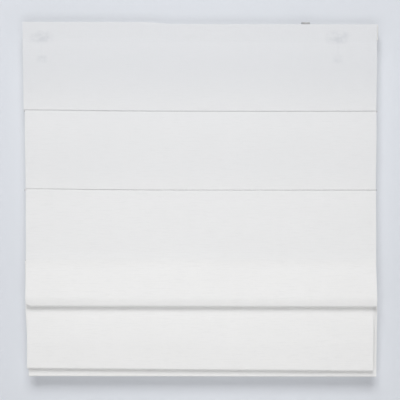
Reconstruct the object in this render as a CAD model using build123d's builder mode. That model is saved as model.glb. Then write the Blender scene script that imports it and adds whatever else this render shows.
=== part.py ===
from build123d import *
import math
import os

# Roman blind with a spring-driven, cordless lift. Millimetres, +Z up, +Y into the wall.
# The origin is the middle of the brackets' wall holes, on the wall's face.

# Cloth
cloth_width = 800.0
cloth_thick = 0.8
layer_gap = 0.2  # between layers that are sewn together
hem_height = 38.0
panel_1 = 196.0  # from the top edge to the first rod
panel_2 = 179.0  # from the first rod to the second
stack_drop = 163.0  # from the second rod to the third, as the blind is drawn up
rod_pitch = 13.0  # between rods that are stacked
fold_1_drop = 107.0  # the front fold hangs this far below the third rod
fold_2_drop = 250.0  # the second fold, below the third rod
bar_drop = 267.0  # the blind's bottom edge, below the third rod
fold_1_bulge = 18.2  # the front fold stands this far out from the panels
fold_1_ease_radius = 250.0  # the front fold's front turns plumb on this radius
fold_1_turn = 0.0792  # tangent of half the angle that it turns by there, with a little to spare
ridge_behind = 2.8  # over the stacked tucks, the cloth is this far in front of the front fold's back
ridge_below = 2.0
ridge_radius = 200.0
fold_2_start = 17.0  # the second fold swings out this far below the front fold
fold_2_belly = 4.7
fold_2_belly_drop = 82.0
fold_2_foot_in = 4.0  # its foot is this far in front of where it starts
fold_2_foot_width = 2.1  # in radii of its foot's two corners
fold_2_close = 7.0  # its back leaves the stack this far below the front fold
fold_2_start_radius = 200.0
fold_2_back_radius = 300.0
fold_2_radius = 4.2
last_panel_start = -13.0  # the last panel leaves the stack this far below the front fold
last_panel_plumb = 67.0  # and is plumb from here
last_panel_radius = 300.0
layer_pitch = 1.6  # between layers of cloth that hang behind each other
crease_radius = 0.6  # radius of the cloth's middle where it turns into a rod tuck
pocket_height = 50.0
pocket_seam = 7.0
pocket_slope = 7.0
pocket_radius = 3.0
last_panel_swing = 4.1

# Rods, clips and cords
rod_radius = 2.0
rod_past_cloth = 1.5
rod_clearance = 0.2
tuck_web = 2.7  # length of the sewn web between a panel and its rod pocket
tuck_waist = 1.3  # from the web's end to the rod's middle, in radii of the pocket
tuck_shoulder = 0.7
web_radius = 1.0  # where the web opens into the pocket
shoulder_radius = 1.2
fold_gap = 0.05  # left inside a fold that is turned as tight as its layers allow
cord_radius = 0.7
cord_hole = 1.15
clip_width = 6.0
clip_wall = 1.3
clip_half_angle = 105.0
eyelet_wall = 1.45
eyelet_off_clip = 0.45  # between the cord's hole and the clip's hoop
eyelet_height = 5.0
stop_radius = 3.0
stop_length = 7.0
guide_drop = 79.0  # the sewn cord guide, below the cloth's top edge
guide_width = 8.0
guide_height = 12.0
guide_base = 1.2
guide_web = 2.4

# Bottom bar
bar_thick = 3.2
bar_height = 26.0
bar_gap = 0.2
bar_short = 12.0  # each end of the bar stops this far inside the cloth
bar_shift = 6.0  # the last panel and its bar hang this far to the right
bar_cap_length = 5.0

# Headrail
rail_depth = 34.0
rail_height = 36.0
rail_wall = 1.3
rail_past_cloth = 1.5  # each end cap's outer face, beyond the cloth
rail_corner = 1.0
slot_width = 10.0
slot_pocket = 20.0
slot_deep = 3.6
slot_floor = 1.2
lip_width = 4.0
cap_thick = 3.5
cap_plug = 7.0
plug_gap = 0.2
tape_thick = 1.2
tape_height = 25.0
tape_drop = 1.0
tape_short = 5.0

# Brackets
bracket_inset_left = 95.0  # from the cloth's left edge to the left bracket's middle
bracket_inset_right = 163.0  # from its right edge to the right bracket's middle
bracket_width = 20.0
bracket_thick = 1.5
bracket_tail = 16.0  # the wall flange reaches this far below the origin
bracket_front = 0.5  # the top flange ends this far in front of the rail
bracket_lip = 3.5  # its front edge is turned up this far
screw_pitch = 14.0
screw_radius = 2.25
screw_room = 4.5  # behind the rail, for the screws' heads
ceiling_hole_back = 10.0  # from the wall to the hole for a ceiling screw
rail_top = 12.0  # above the origin

# Locking cams
cam_long = 17.0
cam_wide = 9.0
cam_thick = 2.8
cam_gap = 0.3
neck_radius = 3.4
rivet_radius = 1.9
rivet_gap = 0.1
rivet_head = 3.0
rivet_head_thick = 1.2
lever_thick = 1.2
lever_reach = 15.0
lever_wide = 9.0

# Drive
shaft_square = 5.0
shaft_gap = 0.1
drum_barrel = 7.8
winding_gap = 0.05
drum_cone = 1.8
cone_length = 4.0
barrel_length = 40.0
drum_flange = 10.8
flange_thick = 1.2
journal_radius = 6.0
journal_length = 3.0
bearing_gap = 0.2
turns_wound = 16
turn_pitch = 1.5
cord_to_left_edge = 40.0  # from the cloth's left edge to the left cord
cord_to_right_edge = 90.0  # from its right edge, leaving room for the spring motor
cradle_wall = 2.4
cradle_floor = 1.8
cradle_side = 7.0
seat_gap = 0.3
support_length = 8.0
support_bore = 3.9

# Spring motor
motor_from_plug = 7.0  # between the motor's cover and the end cap's plug
motor_case_length = 40.0
motor_cover_length = 16.0
motor_end_wall = 2.5
arbor_radius = 5.0
spring_space = 12.8
spring_strip = 0.5
spring_turns = 5
spring_width = 32.0
brake_wire = 0.5  # half the wire's side
brake_turns = 4
brake_bore = 7.2

os.makedirs("parts", exist_ok=True)

# Places that follow from the sizes above
bracket_span = cloth_width - bracket_inset_left - bracket_inset_right
cloth_left = -bracket_span / 2 - bracket_inset_left
cloth_right = bracket_span / 2 + bracket_inset_right
cloth_mid = (cloth_left + cloth_right) / 2
half_cloth = cloth_thick / 2
rail_back = -(bracket_thick + screw_room)
rail_front = rail_back - rail_depth
rail_mid = (rail_back + rail_front) / 2
rail_bottom = rail_top - rail_height
rail_left = cloth_left - rail_past_cloth + cap_thick
rail_right = cloth_right + rail_past_cloth - cap_thick
cord_left = cloth_left + cord_to_left_edge
cord_right = cloth_right - cord_to_right_edge
motor_right = rail_right - cap_plug - motor_from_plug
motor_left = motor_right - motor_cover_length - motor_case_length
slot_lip_under = rail_top - rail_wall
slot_bed = slot_lip_under - slot_deep
cavity_top = slot_bed - slot_floor
lip_top = rail_bottom + rail_wall
shaft_z = (cavity_top + lip_top) / 2
hem_y = rail_front - 2 * tape_thick - half_cloth
panel_y = hem_y - cloth_thick - layer_gap
tuck_loop = rod_radius + rod_clearance + half_cloth
rod_y = panel_y + tuck_web + tuck_waist * tuck_loop
clip_outside = tuck_loop + half_cloth + rod_clearance + clip_wall
cord_y = rod_y + clip_outside + cord_hole + eyelet_off_clip
shaft_y = cord_y + drum_barrel + cord_radius + winding_gap
cloth_top = rail_top
rod_1_z = cloth_top - panel_1
rod_2_z = rod_1_z - panel_2
rod_3_z = rod_2_z - stack_drop
rod_4_z = rod_3_z - rod_pitch
fold_1_z = rod_3_z - fold_1_drop
fold_2_z = rod_3_z - fold_2_drop
blind_bottom = rod_3_z - bar_drop
last_y = panel_y + 1.2
fold_2_back_y = last_y - layer_pitch
fold_2_front_y = fold_2_back_y - layer_pitch
fold_1_back_y = fold_2_front_y - layer_pitch
fold_1_front_y = panel_y - fold_1_bulge
fold_1_radius = (fold_1_back_y - fold_1_front_y) / 2 - 2 * fold_gap
fold_1_plumb = fold_1_radius + fold_1_turn * fold_1_ease_radius
bar_panel_y = last_y + last_panel_swing
pocket_back_y = bar_panel_y + cloth_thick + bar_thick + 2 * bar_gap
rods = {"rod_1": rod_1_z, "rod_2": rod_2_z, "rod_3": rod_3_z, "rod_4": rod_4_z}
sides = {"left": cord_left, "right": cord_right}


def rect(y_low, y_high, z_low, z_high, mode=Mode.ADD):
    """A rectangle of a section across the blind, by its edges."""
    with Locations(((y_low + y_high) / 2, (z_low + z_high) / 2)):
        Rectangle(y_high - y_low, z_high - z_low, mode=mode)


def save(piece, name):
    piece.part.label = name
    export_step(piece.part, f"parts/{name}.step")


# Headrail: an open-bottomed extrusion with a T-slot along its top for the brackets' cams
with BuildPart() as headrail:
    with BuildSketch(Plane.YZ.offset(rail_left)) as section:
        rect(rail_front, rail_back, rail_bottom, rail_top)
        fillet(section.vertices(), rail_corner)
        inner_front = rail_front + rail_wall
        inner_back = rail_back - rail_wall
        rect(inner_front, inner_back, rail_bottom - 1, slot_lip_under, Mode.SUBTRACT)
        half = slot_pocket / 2 + slot_floor
        rect(rail_mid - half, rail_mid + half, cavity_top, rail_top)
        half = slot_pocket / 2
        rect(rail_mid - half, rail_mid + half, slot_bed, slot_lip_under, Mode.SUBTRACT)
        half = slot_width / 2
        rect(rail_mid - half, rail_mid + half, slot_bed, rail_top + 1, Mode.SUBTRACT)
        rect(inner_front - rail_wall / 2, inner_front + lip_width, rail_bottom, lip_top)
        rect(inner_back - lip_width, inner_back + rail_wall / 2, rail_bottom, lip_top)
    extrude(amount=rail_right - rail_left)
save(headrail, "headrail")

# Hook tape glued along the rail, and loop tape sewn to the cloth's hem
tape_top = cloth_top - tape_drop
for name, front in (("hook_tape", rail_front), ("loop_tape", rail_front - tape_thick)):
    with BuildPart() as tape:
        with BuildSketch(Plane.YZ.offset(cloth_left + tape_short)):
            rect(front - tape_thick, front, tape_top - tape_height, tape_top)
        extrude(amount=cloth_width - 2 * tape_short)
    save(tape, name)

# End caps: a plate over the rail's end, with plugs in its two upper channels and on its lips
for name, face_x, inward in (("left", rail_left, 1), ("right", rail_right, -1)):
    with BuildPart() as end_cap:
        with BuildSketch(Plane.YZ.offset(face_x)) as outline:
            rect(rail_front, rail_back, rail_bottom, rail_top)
            fillet(outline.vertices(), rail_corner)
        extrude(amount=-inward * cap_thick)
        chamfer(end_cap.faces().sort_by(Axis.X)[0 if inward > 0 else -1].edges(), 0.6)
        with BuildSketch(Plane.YZ.offset(face_x)):
            pocket_side = slot_pocket / 2 + slot_floor + plug_gap
            channel_top = slot_lip_under - plug_gap
            for edge, wall in ((rail_front + rail_wall, -1), (rail_back - rail_wall, 1)):
                low, high = sorted((edge - wall * plug_gap, rail_mid + wall * pocket_side))
                rect(low, high, cavity_top, channel_top)
            reach = rail_depth / 2 - rail_wall - plug_gap
            rect(rail_mid - reach, rail_mid + reach, lip_top + plug_gap, lip_top + 2)
        extrude(amount=inward * cap_plug)
    save(end_cap, f"end_cap_{name}")

# Brackets: bent steel angles, screwed to the wall behind the rail or to a ceiling above it
top_of_flange = rail_top + bracket_thick
for name, bracket_x in (("left", -bracket_span / 2), ("right", bracket_span / 2)):
    with BuildPart() as bracket:
        with BuildSketch(Plane.YZ.offset(bracket_x - bracket_width / 2)) as angle:
            rect(-bracket_thick, 0, -bracket_tail, top_of_flange)
            flange_front = rail_front - bracket_front
            rect(flange_front, 0, rail_top, top_of_flange)
            lip_edge = top_of_flange + bracket_lip
            rect(flange_front, flange_front + bracket_thick, rail_top, lip_edge)
            inside = angle.vertices().sort_by_distance((-bracket_thick, rail_top))[0]
            fillet(inside, bracket_thick / 2)
            outside = angle.vertices().sort_by_distance((0, top_of_flange))[0]
            fillet(outside, 1.5 * bracket_thick)
            toe = angle.vertices().sort_by_distance((flange_front, rail_top))[0]
            fillet(toe, bracket_thick)
        extrude(amount=bracket_width)
        lip_corners = bracket.edges().filter_by(Axis.Y).group_by(Axis.Z)[-1]
        fillet(lip_corners, bracket_lip / 2)
        fillet(bracket.edges().filter_by(Axis.Y).group_by(Axis.Z)[0], 2 * bracket_thick)
        with BuildSketch(Plane.XZ):
            with Locations((bracket_x, screw_pitch / 2), (bracket_x, -screw_pitch / 2)):
                Circle(screw_radius)
        extrude(amount=bracket_thick, mode=Mode.SUBTRACT)
        with BuildSketch(Plane.XY.offset(rail_top)):
            with Locations((bracket_x, -ceiling_hole_back)):
                Circle(screw_radius)
            with Locations((bracket_x, rail_mid)):
                Circle(rivet_radius + 2 * rivet_gap)
        extrude(amount=bracket_thick, mode=Mode.SUBTRACT)
    save(bracket, f"bracket_{name}")

    # Cam: an oblong plate in the rail's T-slot that locks across the slot's lips
    cam_low = slot_bed + cam_gap
    with BuildPart() as cam:
        with BuildSketch(Plane.XY.offset(cam_low)):
            with Locations((bracket_x, rail_mid)):
                RectangleRounded(cam_wide, cam_long, cam_wide / 4)
        extrude(amount=cam_thick)
        with BuildSketch(Plane.XY.offset(cam_low)):
            with Locations((bracket_x, rail_mid)):
                Circle(neck_radius)
        extrude(amount=rail_top - cam_gap - cam_low)
        with BuildSketch(Plane.XY.offset(cam_low)):
            with Locations((bracket_x, rail_mid)):
                Circle(rivet_radius + rivet_gap)
        extrude(amount=rail_top - cam_low, mode=Mode.SUBTRACT)
        with BuildSketch(Plane.XY.offset(cam_low)):
            with Locations((bracket_x, rail_mid)):
                Circle(rivet_head + rivet_gap)
        extrude(amount=rivet_head_thick + rivet_gap, mode=Mode.SUBTRACT)
    save(cam, f"cam_{name}")

    # Lever above the bracket that turns the cam
    lever_low = top_of_flange + rivet_gap
    with BuildPart() as lever:
        with BuildSketch(Plane.XY.offset(lever_low)):
            with Locations((bracket_x, rail_mid)):
                Circle(lever_wide / 2)
            with BuildLine():
                start = (bracket_x - lever_wide / 2, rail_mid)
                end = (bracket_x + lever_wide / 2, rail_mid)
                tip_left = (bracket_x - lever_wide / 3, rail_mid - lever_reach + lever_wide / 3)
                tip_right = (bracket_x + lever_wide / 3, rail_mid - lever_reach + lever_wide / 3)
                Polyline(tip_left, start, end, tip_right)
                ThreePointArc(tip_left, (bracket_x, rail_mid - lever_reach), tip_right)
            make_face()
            with Locations((bracket_x, rail_mid)):
                Circle(rivet_radius + rivet_gap, mode=Mode.SUBTRACT)
        extrude(amount=lever_thick)
        chamfer(lever.faces().sort_by(Axis.Z)[-1].outer_wire().edges(), 0.3)
    save(lever, f"cam_lever_{name}")

    # Rivet through lever, bracket and cam
    lever_top = lever_low + lever_thick
    with BuildPart() as rivet:
        with BuildSketch(Plane.XY.offset(cam_low)):
            with Locations((bracket_x, rail_mid)):
                Circle(rivet_head)
        extrude(amount=rivet_head_thick)
        with BuildSketch(Plane.XY.offset(cam_low)):
            with Locations((bracket_x, rail_mid)):
                Circle(rivet_radius)
        extrude(amount=lever_top - cam_low)
        with BuildSketch(Plane.XY.offset(lever_top)):
            with Locations((bracket_x, rail_mid)):
                Circle(rivet_head)
        extrude(amount=rivet_head_thick)
        chamfer(rivet.edges().filter_by(GeomType.CIRCLE).sort_by(Axis.Z)[-1], 0.5)
    save(rivet, f"cam_rivet_{name}")

# Drive shaft: one square bar through both drums and into the spring motor
drum_length = 2 * journal_length + 2 * flange_thick + cone_length + barrel_length
cone_start = flange_thick + cone_length + turn_pitch / 2  # from the flange's face to the cord
shaft_start = cord_left - cone_start - journal_length - 1
shaft_end = motor_left + motor_case_length + motor_cover_length - 6
with BuildPart() as drive_shaft:
    with BuildSketch(Plane.YZ.offset(shaft_start)):
        with Locations((shaft_y, shaft_z)):
            Rectangle(shaft_square, shaft_square)
    extrude(amount=shaft_end - shaft_start)
    chamfer(drive_shaft.edges().filter_by(Axis.X), 0.4)
save(drive_shaft, "drive_shaft")
shaft_axis = Axis((0, shaft_y, shaft_z), (1, 0, 0))

for name, along in (("left", 1), ("right", -1)):
    cord_x = sides[name]
    drum_x = cord_x - along * cone_start
    # Drum: a flange and a cone that push the cord's turns along the barrel
    with BuildPart() as drum:
        with BuildSketch(Plane.XZ.offset(-shaft_y)) as drum_profile:
            with BuildLine():
                cone_foot = drum_x + along * (flange_thick + cone_length)
                barrel_end = cone_foot + along * barrel_length
                flange_end = barrel_end + along * flange_thick
                Polyline(
                    (drum_x - along * journal_length, shaft_z),
                    (drum_x - along * journal_length, shaft_z + journal_radius),
                    (drum_x, shaft_z + journal_radius),
                    (drum_x, shaft_z + drum_flange),
                    (drum_x + along * flange_thick, shaft_z + drum_flange),
                    (drum_x + along * flange_thick, shaft_z + drum_barrel + drum_cone),
                    (cone_foot, shaft_z + drum_barrel),
                    (barrel_end, shaft_z + drum_barrel),
                    (barrel_end, shaft_z + drum_flange),
                    (flange_end, shaft_z + drum_flange),
                    (flange_end, shaft_z + journal_radius),
                    (flange_end + along * journal_length, shaft_z + journal_radius),
                    (flange_end + along * journal_length, shaft_z),
                    close=True,
                )
            make_face()
        revolve(axis=shaft_axis)
        with BuildSketch(Plane.YZ.offset(min(drum_x, flange_end) - journal_length)):
            with Locations((shaft_y, shaft_z)):
                Rectangle(shaft_square + 2 * shaft_gap, shaft_square + 2 * shaft_gap)
        extrude(amount=drum_length, mode=Mode.SUBTRACT)
    save(drum, f"drum_{name}")

    # The cord's turns on the barrel, as one sleeve
    wound_x = cord_x + along * (turn_pitch / 2 + 0.1)
    with BuildPart() as winding:
        with BuildSketch(Plane.YZ.offset(wound_x)):
            with Locations((shaft_y, shaft_z)):
                Circle(drum_barrel + 2 * cord_radius)
                Circle(drum_barrel + winding_gap, mode=Mode.SUBTRACT)
        extrude(amount=along * turns_wound * turn_pitch)
    save(winding, f"cord_winding_{name}")

    # Cradle: carries the drum's journals in the rail, with a slot in its floor for the cord
    cradle_low = lip_top + seat_gap
    cradle_end = drum_x - along * (bearing_gap + cradle_wall)
    cradle_length = drum_length - 2 * journal_length + 2 * (bearing_gap + cradle_wall)
    half_depth = rail_depth / 2 - rail_wall - seat_gap
    with BuildPart() as cradle:
        with BuildSketch(Plane.YZ.offset(cradle_end)) as cheek:
            rect(rail_mid - half_depth, rail_mid + half_depth, cradle_low, shaft_z)
            with Locations((shaft_y, shaft_z)):
                Circle(journal_radius + bearing_gap + cradle_wall)
            with Locations((shaft_y, shaft_z)):
                Circle(journal_radius + bearing_gap, mode=Mode.SUBTRACT)
        extrude(amount=along * cradle_length)
        with BuildSketch(Plane.YZ.offset(cradle_end + along * cradle_wall)):
            inside = half_depth - cradle_floor
            rect(rail_mid - inside, rail_mid + inside, cradle_low + cradle_floor, rail_top)
        extrude(amount=along * (cradle_length - 2 * cradle_wall), mode=Mode.SUBTRACT)
        with BuildSketch(Plane.YZ.offset(cradle_end + along * cradle_wall)):
            rect(rail_mid - half_depth, rail_mid + half_depth, cradle_low + cradle_side, rail_top)
        extrude(amount=along * (cradle_length - 2 * cradle_wall), mode=Mode.SUBTRACT)
        with BuildSketch(Plane.XY.offset(cradle_low)):
            with Locations((cord_x, cord_y)):
                SlotOverall(8 * cord_radius, 4 * cord_radius, rotation=90)
        extrude(amount=cradle_floor, mode=Mode.SUBTRACT)
    save(cradle, f"drum_cradle_{name}")

    # Lift cord: straight down from the drum through the guide and every rod clip
    stop_top = rod_4_z - eyelet_height / 2 - 0.2
    with BuildPart() as lift_cord:
        with BuildSketch(Plane.XY.offset(shaft_z)):
            with Locations((cord_x, cord_y)):
                Circle(cord_radius)
        extrude(amount=stop_top - shaft_z)
    save(lift_cord, f"lift_cord_{name}")

    # Cord stop: a turned bead under the lowest clip, where the cord is tied off
    with BuildPart() as cord_stop:
        with BuildSketch(Plane.XZ.offset(-cord_y)):
            with Locations((cord_x + stop_radius / 2, stop_top - stop_length / 2)):
                Rectangle(stop_radius, stop_length)
        revolve(axis=Axis((cord_x, cord_y, 0), (0, 0, 1)))
        chamfer(cord_stop.edges().filter_by(GeomType.CIRCLE), 1.0)
    save(cord_stop, f"cord_stop_{name}")

    # Cord guide: a sewn base on the cloth's back with an eye that the cord runs through
    guide_z = cloth_top - guide_drop
    guide_front = panel_y + half_cloth + rod_clearance
    with BuildPart() as guide:
        with BuildSketch(Plane.XZ.offset(-guide_front)):
            with Locations((cord_x, guide_z)):
                RectangleRounded(guide_width, guide_height, guide_width / 4)
        extrude(amount=-guide_base)
        with BuildSketch(Plane.XY.offset(guide_z - guide_height / 3)):
            with Locations((cord_x, (guide_front + cord_y) / 2)):
                Rectangle(guide_web, cord_y - guide_front)
            with Locations((cord_x, cord_y)):
                Circle(cord_hole + eyelet_wall)
            with Locations((cord_x, cord_y)):
                Circle(cord_hole, mode=Mode.SUBTRACT)
        extrude(amount=guide_height * 2 / 3)
    save(guide, f"cord_guide_{name}")

# Shaft support: a saddle on the rail's lips at mid-span
with BuildPart() as shaft_support:
    with BuildSketch(Plane.YZ.offset(cloth_mid - support_length / 2)):
        half_depth = rail_depth / 2 - rail_wall - seat_gap
        low = lip_top + seat_gap
        rect(rail_mid - half_depth, rail_mid + half_depth, low, low + 2 * cradle_floor)
        rect(shaft_y - support_bore - cradle_wall, shaft_y + support_bore + cradle_wall, low, shaft_z)
        with Locations((shaft_y, shaft_z)):
            Circle(support_bore + cradle_wall)
        with Locations((shaft_y, shaft_z)):
            Circle(support_bore, mode=Mode.SUBTRACT)
    extrude(amount=support_length)
save(shaft_support, "shaft_support")

# Spring motor: a case and a cover in the rail, and an arbor on the shaft
case_end = motor_left + motor_case_length
cover_end = case_end + motor_cover_length
motor_half_y = rail_depth / 2 - rail_wall - seat_gap
motor_half_z = (cavity_top - lip_top) / 2 - seat_gap
with BuildPart() as motor_case:
    with BuildSketch(Plane.YZ.offset(motor_left)):
        with Locations((rail_mid, shaft_z)):
            RectangleRounded(2 * motor_half_y, 2 * motor_half_z, 2)
    extrude(amount=motor_case_length)
    with BuildSketch(Plane.YZ.offset(motor_left + motor_end_wall)):
        with Locations((shaft_y, shaft_z)):
            Circle(spring_space)
    extrude(amount=motor_case_length, mode=Mode.SUBTRACT)
    with BuildSketch(Plane.YZ.offset(motor_left)):
        with Locations((shaft_y, shaft_z)):
            Circle(arbor_radius + bearing_gap)
    extrude(amount=motor_end_wall, mode=Mode.SUBTRACT)
save(motor_case, "motor_case")

with BuildPart() as motor_cover:
    with BuildSketch(Plane.YZ.offset(case_end)):
        with Locations((rail_mid, shaft_z)):
            RectangleRounded(2 * motor_half_y, 2 * motor_half_z, 2)
        with Locations((shaft_y, shaft_z)):
            Circle(brake_bore, mode=Mode.SUBTRACT)
    extrude(amount=motor_cover_length - motor_end_wall)
    with BuildSketch(Plane.YZ.offset(cover_end - motor_end_wall)):
        with Locations((rail_mid, shaft_z)):
            RectangleRounded(2 * motor_half_y, 2 * motor_half_z, 2)
        with Locations((shaft_y, shaft_z)):
            Circle(arbor_radius + bearing_gap, mode=Mode.SUBTRACT)
    extrude(amount=motor_end_wall)
save(motor_cover, "motor_cover")

with BuildPart() as motor_arbor:
    with BuildSketch(Plane.YZ.offset(motor_left)):
        with Locations((shaft_y, shaft_z)):
            Circle(arbor_radius)
            Rectangle(
                shaft_square + 2 * shaft_gap, shaft_square + 2 * shaft_gap, mode=Mode.SUBTRACT
            )
    extrude(amount=cover_end - motor_left)
save(motor_arbor, "motor_arbor")

# Power spring: a flat strip wound as half circles whose radius grows by half a pitch each
spiral_start = arbor_radius + spring_strip
spiral_pitch = (spring_space - 2 * spring_strip - spiral_start) / spring_turns
with BuildPart() as power_spring:
    with BuildSketch(Plane.YZ.offset(motor_left + motor_end_wall + 1)):
        with BuildLine(mode=Mode.PRIVATE) as spiral:
            left_end = shaft_y - spiral_start
            for i in range(2 * spring_turns):
                across = 2 * spiral_start + (i + 0.5) * spiral_pitch
                way = 1 if i % 2 == 0 else -1
                far_end = left_end + way * across
                middle = (left_end + far_end) / 2
                top = shaft_z + way * across / 2
                ThreePointArc((left_end, shaft_z), (middle, top), (far_end, shaft_z))
                left_end = far_end
        trace(lines=spiral.line, line_width=spring_strip)
    extrude(amount=spring_width)
save(power_spring, "power_spring")

# Brake spring: square wire coiled on the arbor that holds the blind at any height
brake_pitch = 2.4 * brake_wire
with BuildPart() as brake_spring:
    brake_start = (case_end + 3 * brake_wire, shaft_y, shaft_z)
    brake_radius = arbor_radius + brake_wire + bearing_gap
    with BuildLine():
        coil_length = brake_turns * brake_pitch
        coil = Helix(brake_pitch, coil_length, brake_radius, brake_start, (1, 0, 0))
    with BuildSketch(Plane(coil @ 0, z_dir=coil % 0)):
        Rectangle(2 * brake_wire, 2 * brake_wire)
    sweep(is_frenet=True)
save(brake_spring, "brake_spring")


def tuck(front_in, front_out, rod_z):
    """Points and radii of the cloth's middle from a panel, round a rod and back out."""
    near, far = rod_y - tuck_waist * tuck_loop, rod_y + tuck_loop
    shoulder = rod_y - tuck_shoulder * tuck_loop
    points, radii = [], []
    for side, front in ((1, front_in), (-1, front_out)):
        run = [
            ((front, rod_z + side * crease_radius), crease_radius),
            ((near, rod_z + side * crease_radius), web_radius),
            ((shoulder, rod_z + side * tuck_loop), shoulder_radius),
            ((far, rod_z + side * tuck_loop), tuck_loop - 2 * fold_gap),
        ]
        run = run if side > 0 else run[::-1]
        points += [p for p, r in run]
        radii += [r for p, r in run]
    return points, radii


# Cloth: one sheet, from the hem's edge over the top, down the panels and folds to the bar pocket
hem_fold_z = cloth_top - half_cloth
hem_fold_radius = (hem_y - panel_y) / 2 - fold_gap
fold_2_foot_y = fold_2_front_y - fold_2_foot_in
seam_y = bar_panel_y + cloth_thick + layer_gap
seam_low = blind_bottom + pocket_height - pocket_seam
shapes = [
    ([(hem_y, cloth_top - hem_height)], []),
    ([(hem_y, hem_fold_z), (panel_y, hem_fold_z)], [hem_fold_radius] * 2),
    tuck(panel_y, panel_y, rod_1_z),
    tuck(panel_y, panel_y, rod_2_z),
    (
        [
            (fold_1_back_y - ridge_behind, rod_3_z - ridge_below),
            (fold_1_front_y, fold_1_z + fold_1_plumb),
        ],
        [ridge_radius, fold_1_ease_radius],
    ),
    (
        [(fold_1_front_y, fold_1_z + half_cloth), (fold_1_back_y, fold_1_z + half_cloth)],
        [fold_1_radius, fold_1_radius],
    ),
    tuck(fold_1_back_y, fold_2_front_y, rod_3_z),
    (
        [
            (fold_2_front_y, fold_1_z - fold_2_start),
            (fold_2_front_y - fold_2_belly, fold_1_z - fold_2_belly_drop),
            (fold_2_foot_y, fold_2_z + half_cloth),
            (fold_2_foot_y + fold_2_foot_width * fold_2_radius, fold_2_z + half_cloth),
            (fold_2_back_y, fold_1_z - fold_2_close),
        ],
        [fold_2_start_radius, fold_1_ease_radius, fold_2_radius, fold_2_radius, fold_2_back_radius],
    ),
    tuck(fold_2_back_y, last_y, rod_4_z),
    (
        [
            (last_y, fold_1_z - last_panel_start),
            (bar_panel_y, fold_1_z - last_panel_plumb),
        ],
        [last_panel_radius, last_panel_radius],
    ),
    (
        [
            (bar_panel_y, blind_bottom + half_cloth),
            (pocket_back_y, blind_bottom + half_cloth),
        ],
        [(pocket_back_y - bar_panel_y) / 2 - 2 * fold_gap] * 2,
    ),
    (
        [(pocket_back_y, seam_low - pocket_slope), (seam_y, seam_low)],
        [pocket_radius, pocket_radius],
    ),
    ([(seam_y, blind_bottom + pocket_height)], []),
]
cloth_points = [p for points, radii in shapes for p in points]
cloth_radii = [r for points, radii in shapes for r in radii]
with BuildPart() as cloth:
    with BuildSketch(Plane.YZ.offset(cloth_left)):
        with BuildLine(mode=Mode.PRIVATE) as middle_of_cloth:
            FilletPolyline(*cloth_points, radius=cloth_radii)
        trace(lines=middle_of_cloth.line, line_width=cloth_thick)
    extrude(amount=cloth_width)
save(cloth, "cloth")
sheet_length = middle_of_cloth.wires()[0].length
print("sheet length down the blind", round(sheet_length, 1))

# Rods in their tucks, each with two clips that snap over the pocket and ride on the cords
for rod_name, rod_z in rods.items():
    with BuildPart() as rod:
        with BuildSketch(Plane.YZ.offset(cloth_left - rod_past_cloth)):
            with Locations((rod_y, rod_z)):
                Circle(rod_radius)
        extrude(amount=cloth_width + 2 * rod_past_cloth)
        chamfer(rod.edges().filter_by(GeomType.CIRCLE), 0.4)
    save(rod, rod_name)
    for name, cord_x in sides.items():
        clip_inner = tuck_loop + half_cloth + rod_clearance
        with BuildPart() as clip:
            with BuildSketch(Plane.YZ.offset(cord_x - clip_width / 2)):
                with Locations((rod_y, rod_z)):
                    Circle(clip_inner + clip_wall)
                    Circle(clip_inner, mode=Mode.SUBTRACT)
                with BuildLine():
                    mouth = 180 - clip_half_angle
                    reach = 2 * (clip_inner + clip_wall)
                    rise = reach * math.tan(math.radians(mouth))
                    Polyline(
                        (rod_y, rod_z),
                        (rod_y - reach, rod_z + rise),
                        (rod_y - reach, rod_z - rise),
                        close=True,
                    )
                make_face(mode=Mode.SUBTRACT)
            extrude(amount=clip_width)
            with BuildSketch(Plane.XY.offset(rod_z - eyelet_height / 2)):
                with Locations((cord_x, cord_y)):
                    Circle(cord_hole + eyelet_wall)
            extrude(amount=eyelet_height)
            with BuildSketch(Plane.YZ.offset(cord_x - clip_width / 2)):
                with Locations((rod_y, rod_z)):
                    Circle(clip_inner)
            extrude(amount=clip_width, mode=Mode.SUBTRACT)
            with BuildSketch(Plane.XY.offset(rod_z - rod_pitch / 2)):
                with Locations((cord_x, cord_y)):
                    Circle(cord_hole)
            extrude(amount=rod_pitch, mode=Mode.SUBTRACT)
        save(clip, f"{rod_name}_clip_{name}")

# Bottom bar: a flat bar in the hem pocket, with a cap on each end
bar_front = bar_panel_y + half_cloth + bar_gap
bar_low = blind_bottom + cloth_thick + 0.3
with BuildPart() as bottom_bar:
    with BuildSketch(Plane.YZ.offset(cloth_left + bar_short + bar_shift)) as flat:
        rect(bar_front, bar_front + bar_thick, bar_low, bar_low + bar_height)
        fillet(flat.vertices(), bar_thick / 2 - 0.1)
    extrude(amount=cloth_width - 2 * bar_short)
save(bottom_bar, "bottom_bar")

for name, end_x, inward in (
    ("left", cloth_left + bar_short + bar_shift, 1),
    ("right", cloth_right - bar_short + bar_shift, -1),
):
    with BuildPart() as bar_cap:
        with BuildSketch(Plane.YZ.offset(end_x - inward * 0.1)) as flat:
            rect(bar_front, bar_front + bar_thick, bar_low, bar_low + bar_height)
            fillet(flat.vertices(), bar_thick / 2 - 0.1)
        extrude(amount=-inward * bar_cap_length)
        chamfer(bar_cap.faces().sort_by(Axis.X)[0 if inward > 0 else -1].edges(), 0.5)
    save(bar_cap, f"bar_cap_{name}")
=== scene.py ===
"""Roman blind: cloth, cords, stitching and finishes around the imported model."""

import math
import random

import bpy
from bpy.props import FloatProperty, FloatVectorProperty, IntProperty, PointerProperty
from mathutils import Matrix, Vector


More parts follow.
